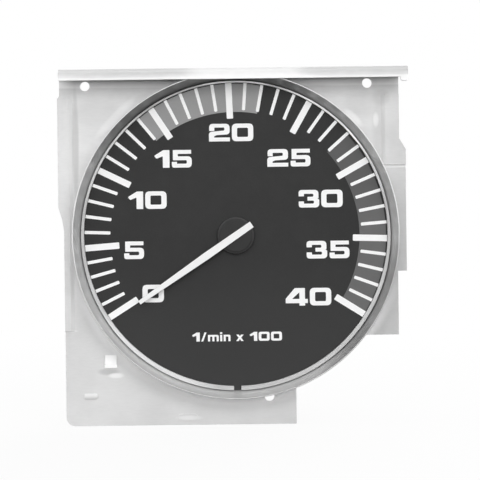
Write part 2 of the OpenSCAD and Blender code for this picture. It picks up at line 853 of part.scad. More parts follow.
module terminal_tabs()
    color("gold") {
        tip = block_back - tab_l;
        tail_end = board_front + tab_tail_out;
        for (x = TAB_PLACES)
            at(x, 0)
                along_z(-block_z - tab_t / 2, -block_z + tab_t / 2)
                    difference() {
                        polygon([[-tab_w / 2, tip + tab_tip_chamfer], [-tab_w / 2, board_back],
                            [-tab_tail_w / 2, board_back], [-tab_tail_w / 2, tail_end],
                            [tab_tail_w / 2, tail_end], [tab_tail_w / 2, board_back],
                            [tab_w / 2, board_back], [tab_w / 2, tip + tab_tip_chamfer],
                            [tab_w / 2 - tab_tip_chamfer, tip], [-tab_w / 2 + tab_tip_chamfer, tip]]);
                        translate([0, tip + tab_l / 2]) circle(tab_hole_r, $fn = 24);
                    }
    }

carrier_plate();
instrument_pot();
dial_plate();
scale_marks();
economy_band();
overspeed_band();
retaining_ring();
pointer();
pointer_hub();
spindle();
rotor_magnet();
stop_arm();
stop_pins();
front_bearing();
bearing_bridge();
rear_bearing();
coil_former_front();
coil_former_rear();
inner_coil();
outer_coil();
shield_can();
circuit_board();
driver_chip();
capacitors();
resistors();
diode();
calibration_trimmer();
board_standoffs();
board_screws();
rear_screws();
terminal_block();
terminal_tabs();
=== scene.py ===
"""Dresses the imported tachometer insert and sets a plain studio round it.

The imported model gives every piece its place. This script rounds the edges of pieces that show, prints the
numerals, gives each piece its finish, and sets the floor, the lights and the camera. All lengths are metres
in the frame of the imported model, unless a name or a docstring says otherwise: X to the right, Z up, and the
viewer on the side of -Y.
"""

import logging
import math
from dataclasses import dataclass, replace
from enum import Enum
from typing import ClassVar

import bmesh
import bpy
from mathutils import Matrix, Vector


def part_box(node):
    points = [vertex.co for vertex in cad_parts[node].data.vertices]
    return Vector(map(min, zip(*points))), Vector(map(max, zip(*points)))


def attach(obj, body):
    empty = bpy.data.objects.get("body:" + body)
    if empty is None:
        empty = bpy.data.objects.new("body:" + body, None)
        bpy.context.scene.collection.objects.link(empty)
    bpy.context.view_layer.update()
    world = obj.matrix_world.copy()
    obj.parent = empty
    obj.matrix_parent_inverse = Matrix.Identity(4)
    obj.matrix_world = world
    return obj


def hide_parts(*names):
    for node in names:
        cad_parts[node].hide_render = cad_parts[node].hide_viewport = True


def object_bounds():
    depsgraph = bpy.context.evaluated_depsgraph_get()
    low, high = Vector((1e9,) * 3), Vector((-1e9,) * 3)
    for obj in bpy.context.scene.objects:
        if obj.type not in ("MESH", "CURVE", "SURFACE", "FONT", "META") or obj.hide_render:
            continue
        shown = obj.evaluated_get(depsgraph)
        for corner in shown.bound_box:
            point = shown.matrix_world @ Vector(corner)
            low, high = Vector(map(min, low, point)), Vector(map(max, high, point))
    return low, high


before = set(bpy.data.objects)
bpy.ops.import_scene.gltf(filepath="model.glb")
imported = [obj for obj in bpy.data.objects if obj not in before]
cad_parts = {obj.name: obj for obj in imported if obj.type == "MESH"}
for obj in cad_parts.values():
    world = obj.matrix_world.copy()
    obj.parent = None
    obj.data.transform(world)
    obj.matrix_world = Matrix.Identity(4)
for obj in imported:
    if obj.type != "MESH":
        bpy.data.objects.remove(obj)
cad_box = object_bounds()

log = logging.getLogger("tachometer")

MM = 0.001
CASE = "case"
POINTER_SHAFT = "pointer_shaft"
# Edges that turn by more than this stay sharp on printed pieces.
SHARP = math.radians(30)
# Turns a drawing made in millimetres, with its height towards the viewer, into the model's frame.
TO_FACE = Matrix.Rotation(math.radians(90), 4, "X") @ Matrix.Scale(MM, 4)

Colour = tuple[float, float, float]
Way = tuple[float, float, float]
# A corner of a loop and the radius that rounds it.
Corner = tuple[float, float, float]
Span = tuple[float, float]
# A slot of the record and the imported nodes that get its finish.
Row = tuple[str, ...]
Socket = bpy.types.NodeSocket
Outputs = bpy.types.bpy_prop_collection


def grey(level: float) -> Colour:
    """Gives a neutral grey as a colour."""
    return (level, level, level)


def placed(name: str, data: bpy.types.ID) -> bpy.types.Object:
    """Puts a new object into the scene.

    Args:
        name: The object's name.
        data: The mesh, lamp or camera that it shows.

    Returns:
        The object.
    """
    made = bpy.data.objects.new(name, data)
    bpy.context.scene.collection.objects.link(made)
    return made


@dataclass(frozen=True)
class Cloud:
    """A noise mask: its waves per metre, its detail, and the ramp that sharpens it."""

    scale: float
    detail: float
    ramp: tuple[float, ...]


class Graph:
    """A node tree with short calls for adding and joining nodes."""

    def __init__(self, tree: bpy.types.NodeTree) -> None:
        """Keeps the tree that the calls work on."""
        self.tree = tree

    def add(self, kind: str, **settings: object) -> bpy.types.Node:
        """Adds a node.

        Args:
            kind: The node's type.
            settings: Properties of the node, by name.

        Returns:
            The node.
        """
        node = self.tree.nodes.new(kind)
        for name, value in settings.items():
            setattr(node, name, value)
        return node

    def feed(self, target: Socket, source: object) -> None:
        """Feeds an input socket.

        Args:
            target: The input socket.
            source: An output socket to link, or a number or a tuple of numbers to set.
        """
        if isinstance(source, bpy.types.NodeSocket):
            self.tree.links.new(source, target)
        elif target.type == "RGBA" and len(source) == 3:
            target.default_value = (*source, 1.0)
        else:
            target.default_value = source

    def maths(self, operation: str, first: object, second: object = 0.0, clamp: bool = False) -> Socket:
        """Adds a Math node.

        Args:
            operation: What it works out.
            first: The first number or socket.
            second: The second number or socket.
            clamp: Whether the result is kept between 0 and 1.

        Returns:
            Its output.
        """
        node = self.add("ShaderNodeMath", operation=operation, use_clamp=clamp)
        self.feed(node.inputs[0], first)
        self.feed(node.inputs[1], second)
        return node.outputs[0]

    def vector(self, operation: str, first: object, second: object = (0.0, 0.0, 0.0),
               out: int = 0) -> Socket:
        """Adds a Vector Math node.

        Args:
            operation: What it works out.
            first: The first vector or socket.
            second: The second vector or socket.
            out: Which output is given: 0 is the vector, 1 the value.

        Returns:
            That output.
        """
        node = self.add("ShaderNodeVectorMath", operation=operation)
        self.feed(node.inputs[0], first)
        self.feed(node.inputs[1], second)
        return node.outputs[out]

    def ramp(self, value: object, low: object, high: object, to_low: object = 0.0,
             to_high: object = 1.0) -> Socket:
        """Adds a clamped, smooth Map Range node.

        Args:
            value: The number or socket that it ramps.
            low: Where the ramp starts.
            high: Where it ends.
            to_low: What it gives at low.
            to_high: What it gives at high.

        Returns:
            Its output.
        """
        node = self.add("ShaderNodeMapRange", interpolation_type="SMOOTHSTEP")
        for place, source in enumerate((value, low, high, to_low, to_high)):
            self.feed(node.inputs[place], source)
        return node.outputs[0]

    def blend(self, share: object, first: object, second: object) -> Socket:
        """Mixes two colours.

        Args:
            share: The share of the second colour, from 0 to 1.
            first: The first colour or socket.
            second: The second colour or socket.

        Returns:
            The mixed colour.
        """
        node = self.add("ShaderNodeMix", data_type="RGBA")
        self.feed(node.inputs["Factor"], share)
        self.feed(node.inputs[6], first)
        self.feed(node.inputs[7], second)
        return node.outputs[2]

    def noise(self, coords: Socket, scale: object, detail: float) -> Socket:
        """Adds a Noise Texture.

        Args:
            coords: The coordinates that it reads.
            scale: Its waves per metre.
            detail: How many finer layers it has.

        Returns:
            Its value.
        """
        node = self.add("ShaderNodeTexNoise")
        self.feed(node.inputs["Vector"], coords)
        self.feed(node.inputs["Scale"], scale)
        self.feed(node.inputs["Detail"], detail)
        return node.outputs[0]

    def place(self) -> Socket:
        """Gives the Object coordinates."""
        return self.add("ShaderNodeTexCoord").outputs["Object"]

    def normal(self) -> Socket:
        """Gives the way that a face looks."""
        return self.add("ShaderNodeNewGeometry").outputs["Normal"]

    def parts(self, source: Socket) -> Outputs:
        """Splits a vector.

        Args:
            source: The vector.

        Returns:
            Its three numbers, as outputs named X, Y and Z.
        """
        node = self.add("ShaderNodeSeparateXYZ")
        self.feed(node.inputs[0], source)
        return node.outputs

    def joined(self, **numbers: Socket) -> Socket:
        """Makes a vector.

        Args:
            numbers: Its X, Y and Z; what isn't given is nought.

        Returns:
            The vector.
        """
        node = self.add("ShaderNodeCombineXYZ")
        for axis, number in numbers.items():
            self.feed(node.inputs[axis], number)
        return node.outputs[0]

    def ahead(self) -> Socket:
        """Gives how squarely a face looks along Y: one for flat faces, nought for the sides."""
        return self.maths("ABSOLUTE", self.parts(self.normal())["Y"])

    def along(self, way: object) -> Socket:
        """Gives how far a point lies along a way, which a longer way makes more."""
        return self.vector("DOT_PRODUCT", self.place(), way, out=1)

    def cloud(self, cloud: Cloud) -> Socket:
        """Gives a noise mask."""
        return self.ramp(self.noise(self.place(), cloud.scale, cloud.detail), *cloud.ramp)

    def effect(self, group: bpy.types.NodeTree, **inputs: object) -> Socket:
        """Places a node group.

        Args:
            group: The group.
            inputs: What feeds its inputs, with underscores for blanks in their names.

        Returns:
            Its first output.
        """
        node = self.add("ShaderNodeGroup", node_tree=group)
        for name, source in inputs.items():
            self.feed(node.inputs[name.replace("_", " ")], source)
        return node.outputs[0]


class Effects:
    """The shader node groups that several finishes share, each built once.

    The first two numbers of a ramp say where its mask starts and where it is full, and two more say how
    strong it is there.
    """

    PATCH_DETAIL = 4.0
    MIDDLE = 0.5
    GRAIN_DETAIL = 2.0
    TURNED_DETAIL = 3.0
    FINE = (0.25, 0.75)
    EDGE = (0.995, 0.9)
    EDGE_SPOTS = Cloud(700.0, 4.0, (0.4, 0.6, 0.3, 1.0))
    LOOKS_UP = (0.0, 1.0, 0.4, 1.0)
    FILM = Cloud(140.0, 5.0, (0.4, 0.75))
    SPECKS = Cloud(1900.0, 1.0, (0.74, 0.8))
    SHUT_IN = (0.95, 0.35)
    UNEVEN = Cloud(300.0, 4.0, (0.3, 0.7, 0.6, 1.0))
    RIM_RADIUS = 0.05

    def __init__(self) -> None:
        """Builds the groups."""
        self.patches = self._patches()
        self.grain = self._grain()
        self.turned = self._turned()
        self.rubbed = self._rubbed()
        self.dust = self._dust()
        self.grime = self._grime()

    @staticmethod
    def _start(name: str, **inputs: float) -> tuple[Graph, Outputs, Socket]:
        """Starts a group with named number inputs and one output called Mask.

        Args:
            name: The group's name.
            inputs: Each input's default, with underscores for blanks in its name.

        Returns:
            The group's graph, what it is given, and where its mask goes.
        """
        tree = bpy.data.node_groups.new(name, "ShaderNodeTree")
        for label, default in inputs.items():
            socket = tree.interface.new_socket(
                label.replace("_", " "), in_out="INPUT", socket_type="NodeSocketFloat")
            socket.default_value = default
        tree.interface.new_socket("Mask", in_out="OUTPUT", socket_type="NodeSocketFloat")
        graph = Graph(tree)
        given = graph.add("NodeGroupInput").outputs
        return graph, given, graph.add("NodeGroupOutput").inputs["Mask"]

    def _patches(self) -> bpy.types.NodeTree:
        """Builds broad, soft-edged patches for stains and uneven plating.

        Returns:
            The group.
        """
        graph, given, mask = self._start("patches", Scale=60.0, Spread=0.3)
        broad = graph.noise(graph.place(), given["Scale"], self.PATCH_DETAIL)
        low = graph.maths("SUBTRACT", self.MIDDLE, given["Spread"])
        high = graph.maths("ADD", self.MIDDLE, given["Spread"])
        graph.feed(mask, graph.ramp(broad, low, high))
        return graph.tree

    def _grain(self) -> bpy.types.NodeTree:
        """Builds fine grain that may be drawn out along X.

        Returns:
            The group.
        """
        graph, given, mask = self._start("grain", Scale=2500.0, Stretch=1.0)
        parts = graph.parts(graph.place())
        across = graph.maths("DIVIDE", parts["X"], given["Stretch"])
        drawn = graph.joined(X=across, Y=parts["Y"], Z=parts["Z"])
        graph.feed(mask, graph.ramp(graph.noise(drawn, given["Scale"], self.GRAIN_DETAIL), *self.FINE))
        return graph.tree

    def _turned(self) -> bpy.types.NodeTree:
        """Builds fine rings about the pointer axis, as drawing and turning leave them.

        Returns:
            The group.
        """
        graph, given, mask = self._start("turned rings", Scale=3000.0, Along=0.02)
        parts = graph.parts(graph.place())
        radius = graph.vector("LENGTH", graph.joined(X=parts["X"], Z=parts["Z"]), out=1)
        angle = graph.maths("ARCTAN2", parts["X"], parts["Z"])
        # A radius near the rim's turns the angle into a length.
        along = graph.maths("MULTIPLY", angle, graph.maths("MULTIPLY", given["Along"], self.RIM_RADIUS))
        ring = graph.joined(X=radius, Y=parts["Y"], Z=along)
        graph.feed(mask, graph.ramp(graph.noise(ring, given["Scale"], self.TURNED_DETAIL), *self.FINE))
        return graph.tree

    def _rubbed(self) -> bpy.types.NodeTree:
        """Builds wear in spots along the edges.

        Returns:
            The group.
        """
        graph, given, mask = self._start("rubbed edges", Radius=0.0004, Amount=0.5)
        soft = graph.add("ShaderNodeBevel", samples=4)
        graph.feed(soft.inputs["Radius"], given["Radius"])
        same = graph.vector("DOT_PRODUCT", soft.outputs[0], graph.normal(), out=1)
        worn = graph.maths("MULTIPLY", graph.ramp(same, *self.EDGE), graph.cloud(self.EDGE_SPOTS))
        graph.feed(mask, graph.maths("MULTIPLY", worn, given["Amount"], clamp=True))
        return graph.tree

    def _dust(self) -> bpy.types.NodeTree:
        """Builds dust: a film in patches with a few brighter specks, more of it on faces that look up.

        Returns:
            The group.
        """
        graph, given, mask = self._start("dust", Amount=0.1, Specks=0.3)
        level = graph.ramp(graph.parts(graph.normal())["Z"], *self.LOOKS_UP)
        film = graph.maths("MULTIPLY", graph.cloud(self.FILM), given["Amount"])
        specks = graph.maths("MULTIPLY", graph.cloud(self.SPECKS), given["Specks"])
        settled = graph.maths("MULTIPLY", level, graph.maths("ADD", film, specks))
        graph.feed(mask, graph.maths("MINIMUM", settled, 1.0))
        return graph.tree

    def _grime(self) -> bpy.types.NodeTree:
        """Builds soil with painted shade in corners and under edges, from ambient occlusion.

        Returns:
            The group.
        """
        graph, given, mask = self._start("corner grime", Reach=0.002, Amount=0.5)
        corner = graph.add("ShaderNodeAmbientOcclusion", samples=8)
        graph.feed(corner.inputs["Distance"], given["Reach"])
        shut = graph.ramp(corner.outputs["AO"], *self.SHUT_IN)
        soil_and_shade_mask = graph.maths("MULTIPLY", shut, graph.cloud(self.UNEVEN))
        graph.feed(mask, graph.maths("MULTIPLY", soil_and_shade_mask, given["Amount"], clamp=True))
        return graph.tree


class Grain(Enum):
    """Which way a surface's fine marks run."""

    EVEN = "even"
    DRAWN = "drawn"
    TURNED = "turned"


@dataclass(frozen=True)
class Side:
    """A change to a grey level towards one side of the object.

    It starts and is full at lengths along its way. It may be weaker on faces that look along Y, or on the
    others, and what counts as looking along Y runs from flat_from to flat_to.
    """

    level: float
    share: float
    way: Way
    start: float
    full: float
    on_flat: float = 1.0
    off_flat: float = 1.0
    flat_from: float = 0.4
    flat_to: float = 0.8


@dataclass(frozen=True)
class Finish:
    """How one kind of surface looks.

    The colour is the clean surface and the shade is what its patches and grain lean towards. The shares of
    grain, dust, soil with painted shade in corners, and wear run from 0 to 1. Scales are waves per metre and
    depths are metres.
    """

    colour: Colour
    shade: Colour
    roughness: float
    metallic: float = 0.0
    specular: float = 0.5
    coat: float = 0.0
    rough_spread: float = 0.06
    patch_scale: float = 60.0
    patch_share: float = 0.5
    grain: Grain = Grain.EVEN
    grain_scale: float = 2500.0
    grain_stretch: float = 1.0
    grain_share: float = 0.2
    grain_depth: float = 0.000004
    dust: float = 0.1
    specks: float = 0.2
    dust_colour: Colour = (0.55, 0.54, 0.52)
    dust_rough: float = 0.3
    grime: float = 0.3
    soil_and_shade_reach: float = 0.002
    soil_and_shade_colour: Colour = (0.05, 0.05, 0.05)
    wear: float = 0.0
    wear_colour: Colour = (0.8, 0.8, 0.8)
    sides: tuple[Side, ...] = ()

    def material(self, name: str, effects: Effects) -> bpy.types.Material:
        """Builds the material.

        Args:
            name: The material's name.
            effects: The shared node groups.

        Returns:
            The new material.
        """
        made = bpy.data.materials.new(name)
        made.use_nodes = True
        graph = Graph(made.node_tree)
        shader = made.node_tree.nodes["Principled BSDF"]
        patches = graph.effect(effects.patches, Scale=self.patch_scale)
        if self.grain is Grain.TURNED:
            grain = graph.effect(effects.turned, Scale=self.grain_scale)
        else:
            grain = graph.effect(effects.grain, Scale=self.grain_scale, Stretch=self.grain_stretch)
        leaning = graph.maths("ADD", graph.maths("MULTIPLY", patches, self.patch_share),
                              graph.maths("MULTIPLY", grain, self.grain_share), clamp=True)
        colour = graph.blend(leaning, self.colour, self.shade)
        # Soil and painted shade in corners and under edges, from ambient occlusion.
        if self.grime:
            soil_and_shade_mask = graph.effect(effects.grime, Reach=self.soil_and_shade_reach, Amount=self.grime)
            colour = graph.blend(soil_and_shade_mask, colour, self.soil_and_shade_colour)
        if self.wear:
            worn = graph.effect(effects.rubbed, Amount=self.wear)
            colour = graph.blend(worn, colour, self.wear_colour)
        dusty = graph.effect(effects.dust, Amount=self.dust, Specks=self.specks)
        colour = graph.blend(dusty, colour, self.dust_colour)
        rough = graph.ramp(grain, 0.0, 1.0, self.roughness - self.rough_spread,
                           self.roughness + self.rough_spread)
        rough = graph.maths("ADD", rough, graph.maths("MULTIPLY", dusty, self.dust_rough))
        bump = graph.add("ShaderNodeBump")
        graph.feed(bump.inputs["Distance"], self.grain_depth)
        graph.feed(bump.inputs["Height"], grain)
        graph.feed(shader.inputs["Base Color"], self.finish_colour(graph, colour))
        graph.feed(shader.inputs["Roughness"], rough)
        graph.feed(shader.inputs["Normal"], bump.outputs[0])
        shader.inputs["Metallic"].default_value = self.metallic
        shader.inputs["Specular IOR Level"].default_value = self.specular
        shader.inputs["Coat Weight"].default_value = self.coat
        return made

    def finish_colour(self, graph: Graph, colour: Socket) -> Socket:
        """Changes the colour towards each side in turn; other finishes do more, or something else.

        Args:
            graph: The material's graph.
            colour: The colour so far.

        Returns:
            The colour of the finish.
        """
        for side in self.sides:
            near = graph.ramp(graph.along(side.way), side.start, side.full, 0.0, side.share)
            kept = graph.ramp(graph.ahead(), side.flat_from, side.flat_to, side.off_flat, side.on_flat)
            colour = graph.blend(graph.maths("MULTIPLY", near, kept), colour, grey(side.level))
        return colour


@dataclass(frozen=True)
class Spot:
    """A place on the plate: its middle, half its width and half its height."""

    x: float
    z: float
    half_x: float
    half_z: float


@dataclass(frozen=True)
class SoftMark(Spot):
    """A round or long soft-edged mark on the plate; most are painted highlights and painted shade.

    It has a grey level, the share that it shows in its core, a name, and the angle in degrees by which it is
    turned anticlockwise. The core is a part of its half width and half height.
    """

    level: float
    share: float
    name: str
    turn: float = 0.0
    core: float = 0.2


@dataclass(frozen=True)
class PlateFinish(Finish):
    """Plated sheet with painted light on its slopes, where the folds shade them, and a painted highlight on
    its lug and along the lower edge of its flange.

    The left pressed bar has a painted highlight along its upper side and painted shade along its lower side.
    Painted light lifts the shadow that the lower part of the rim casts on the sheet, and most soft marks are
    painted highlights and painted shade. A slope is what looks along Y less than a flat face and more than a
    wall.
    """

    front: float = -0.00103
    # The grey of the painted highlight on the lug and of the painted light over the rim's shadow.
    bright: Colour = (1.0, 1.0, 1.0)
    not_flat: Span = (0.98, 0.92)
    not_wall: Span = (0.3, 0.5)
    # The grey of the painted light on the slopes and along the flange's lower edge.
    painted_light_colour: Colour = (0.97, 0.97, 0.97)
    slope_light_share: float = 0.4
    lug: Spot = Spot(-0.0414, -0.0414, 0.0023, 0.0023)
    flange_front: float = -0.0105
    flange_edge: Span = (0.0528, 0.0517)
    flange_share: float = 0.4
    bar: Spot = Spot(-0.0481, -0.053, 0.0026, 0.0012)
    # The painted highlight and painted shade of the left bar.
    bar_highlight_colour: Colour = (0.95, 0.95, 0.95)
    bar_shade_colour: Colour = (0.55, 0.55, 0.55)
    # Where painted light lifts the shadow of the rim's lower part.
    shaded_radius: Span = (0.0575, 0.0545)
    shaded_height: Span = (-0.01, -0.035)
    marks: tuple[SoftMark, ...] = (
        SoftMark(-0.0427, -0.0446, 0.0044, 0.0015, 0.45, 0.6, "shade under the lug's slot"),
        SoftMark(-0.0402, -0.0459, 0.0032, 0.0011, 1.0, 0.8, "painted highlight below the slot"),
        SoftMark(-0.0162, -0.0602, 0.0052, 0.0011, 1.0, 0.5, "painted highlight on the second bar"),
        SoftMark(0.051, 0.0225, 0.009, 0.0008, 0.95, 0.35, "painted light under the right strip", core=0.6),
        SoftMark(-0.0548, -0.031, 0.0026, 0.0005, 1.0, 0.35, "painted light under the left strip", core=0.6),
        SoftMark(-0.036, 0.0535, 0.026, 0.004, 0.4, 0.25, "painted shade at the left end of the flange", core=0.6),
        SoftMark(0.004, 0.0535, 0.022, 0.004, 1.0, 0.35, "painted highlight in the middle of the flange", core=0.6),
        SoftMark(0.041, 0.0535, 0.024, 0.004, 0.4, 0.35, "painted shade at the right end of the flange", core=0.6),
        SoftMark(0.0, 0.0504, 0.2, 0.0014, 1.0, 0.5, "painted light under the flange", core=0.5),
        SoftMark(-0.046, 0.041, 0.009, 0.006, 0.4, 0.2, "painted shade at the upper left"),
        SoftMark(0.042, 0.043, 0.007, 0.006, 0.4, 0.2, "painted shade at the upper right"),
        SoftMark(-0.0528, 0.031, 0.0014, 0.021, 0.4, 0.5, "painted shade along the left strip", core=0.4),
        SoftMark(0.0478, 0.034, 0.0028, 0.013, 0.45, 0.35, "painted shade along the right strip"),
        SoftMark(0.0485, 0.0452, 0.0036, 0.0036, 0.4, 0.35, "dark patch over the right strip"),
        SoftMark(0.0468, 0.0378, 0.0012, 0.003, 1.0, 0.4, "painted highlight beside the right strip"),
        SoftMark(0.0394, 0.0385, 0.0048, 0.0017, 1.0, 0.45, "painted highlight right of the rim", turn=-45.0),
        SoftMark(-0.0395, 0.0395, 0.011, 0.0019, 1.0, 0.3, "painted highlight left of the rim", turn=45.0),
    )

    def inside(self, graph: Graph, parts: Outputs, spot: Spot) -> Socket:
        """Finds what is raised in a place.

        Args:
            graph: The material's graph.
            parts: The three numbers of a point.
            spot: The place.

        Returns:
            A mask that is one there and nought elsewhere.
        """
        across = graph.maths("ABSOLUTE", graph.maths("SUBTRACT", parts["X"], spot.x))
        along = graph.maths("ABSOLUTE", graph.maths("SUBTRACT", parts["Z"], spot.z))
        near = graph.maths("MULTIPLY", graph.maths("LESS_THAN", across, spot.half_x),
                           graph.maths("LESS_THAN", along, spot.half_z))
        return graph.maths("MULTIPLY", near, graph.maths("LESS_THAN", parts["Y"], self.front))

    @staticmethod
    def soft(graph: Graph, mark: SoftMark) -> Socket:
        """Gives a mask of a soft mark.

        Args:
            graph: The material's graph.
            mark: The mark.

        Returns:
            The mark's share in its core, falling to nought at its border.
        """
        off = graph.vector("SUBTRACT", graph.place(), (mark.x, 0.0, mark.z))
        reach = 0.0
        for turn, half in ((mark.turn, mark.half_x), (mark.turn + 90, mark.half_z)):
            angle = math.radians(turn)
            way = Vector((math.cos(angle), 0.0, math.sin(angle))) / half
            part = graph.vector("DOT_PRODUCT", off, way, out=1)
            reach = graph.maths("ADD", graph.maths("MULTIPLY", part, part), reach)
        mask = graph.ramp(reach, 1.0, mark.core ** 2, 0.0, mark.share)
        mask.node.label = mark.name
        return mask

    def finish_colour(self, graph: Graph, colour: Socket) -> Socket:
        """Changes the sides, draws the soft marks, and paints light on the slopes, lug and flange's edge, and
        light and shade on the left bar.

        Args:
            graph: The material's graph.
            colour: The colour so far.

        Returns:
            The colour with its sides, its marks and its painted light and shade.
        """
        colour = super().finish_colour(graph, colour)
        parts = graph.parts(graph.place())
        ahead = graph.ahead()
        slope = graph.maths("MULTIPLY", graph.ramp(ahead, *self.not_flat), graph.ramp(ahead, *self.not_wall))
        # Painted light on the slopes, where the folds shade them.
        colour = graph.blend(graph.maths("MULTIPLY", slope, self.slope_light_share), colour, self.painted_light_colour)
        # Painted highlight along the lower edge of the flange.
        hanging = graph.maths("LESS_THAN", parts["Y"], self.flange_front)
        edge = graph.ramp(parts["Z"], *self.flange_edge, 0.0, self.flange_share)
        colour = graph.blend(graph.maths("MULTIPLY", hanging, edge), colour, self.painted_light_colour)
        # Painted light over the shadow of the rim's lower part.
        away = graph.vector("LENGTH", graph.vector("MULTIPLY", graph.place(), (1.0, 0.0, 1.0)), out=1)
        shaded = graph.maths("MULTIPLY", graph.ramp(away, *self.shaded_radius),
                             graph.ramp(parts["Z"], *self.shaded_height))
        colour = graph.blend(shaded, colour, self.bright)
        # Soft marks, most of them painted highlights and painted shade.
        for mark in self.marks:
            colour = graph.blend(self.soft(graph, mark), colour, grey(mark.level))
        # Painted highlight on the lug's face.
        colour = graph.blend(self.inside(graph, parts, self.lug), colour, self.bright)
        # Painted highlight along the left bar's upper side and painted shade along its lower side.
        rubbed = graph.ramp(parts["Z"], self.bar.z - self.bar.half_z, self.bar.z + self.bar.half_z)
        return graph.blend(self.inside(graph, parts, self.bar), colour,
                           graph.blend(rubbed, self.bar_shade_colour, self.bar_highlight_colour))


@dataclass(frozen=True)
class TopFaceFinish(Finish):
    """A finish whose colour lies on the front face only; the edges have a colour of their own.

    A face belongs to the edges while the Y of its normal is over edge_way, and to the front below front_way.
    """

    edge_colour: Colour = (0.03, 0.03, 0.03)
    edge_way: float = -0.35
    front_way: float = -0.6

    def finish_colour(self, graph: Graph, colour: Socket) -> Socket:
        """Keeps the colour to what looks forward, and gives the rest the edges' colour."""
        front = graph.ramp(graph.parts(graph.normal())["Y"], self.edge_way, self.front_way)
        return graph.blend(front, self.edge_colour, colour)


@dataclass(frozen=True)
class WireFinish(Finish):
    """Close turns of wire, with dark lines between them that run across X and Z."""

    pitch: float = 0.00035
    line: Span = (-1.0, -0.3)

    def finish_colour(self, graph: Graph, colour: Socket) -> Socket:
        """Draws the dark lines between the turns.

        Args:
            graph: The material's graph.
            colour: The colour so far.

        Returns:
            The colour with its lines.
        """
        parts = graph.parts(graph.place())
        across = graph.maths("ADD", parts["X"], parts["Z"])
        wave = graph.maths("SINE", graph.maths("MULTIPLY", across, 2 * math.pi / self.pitch))
        return graph.blend(graph.ramp(wave, *self.line), self.shade, colour)


@dataclass(frozen=True)
class BoardFinish(Finish):
    """Solder mask over copper tracks that run across in some areas and up in others."""

    track_pitch: float = 0.00508
    track: Span = (0.85, 0.92)
    track_colour: Colour = (0.1, 0.33, 0.13)
    areas: Cloud = Cloud(90.0, 1.0, (0.48, 0.52))

    def finish_colour(self, graph: Graph, colour: Socket) -> Socket:
        """Draws the tracks under the mask.

        Args:
            graph: The material's graph.
            colour: The colour so far.

        Returns:
            The colour with its tracks.
        """
        parts = graph.parts(graph.place())
        turns = 2 * math.pi / self.track_pitch
        lines = []
        for side in ("X", "Z"):
            wave = graph.maths("SINE", graph.maths("MULTIPLY", parts[side], turns))
            lines.append(graph.ramp(wave, *self.track))
        areas = graph.cloud(self.areas)
        across = graph.maths("MULTIPLY", lines[0], areas)
        along = graph.maths("MULTIPLY", lines[1], graph.maths("SUBTRACT", 1.0, areas))
        return graph.blend(graph.maths("MAXIMUM", across, along), colour, self.track_colour)


LIGHT_PRINT = Finish(
    grey(0.34), grey(0.29), 0.6, specular=0.2, patch_scale=150.0, grain_scale=5600.0, grain_share=0.3,
    dust=0.03, specks=0.05, soil_and_shade_reach=0.0012)

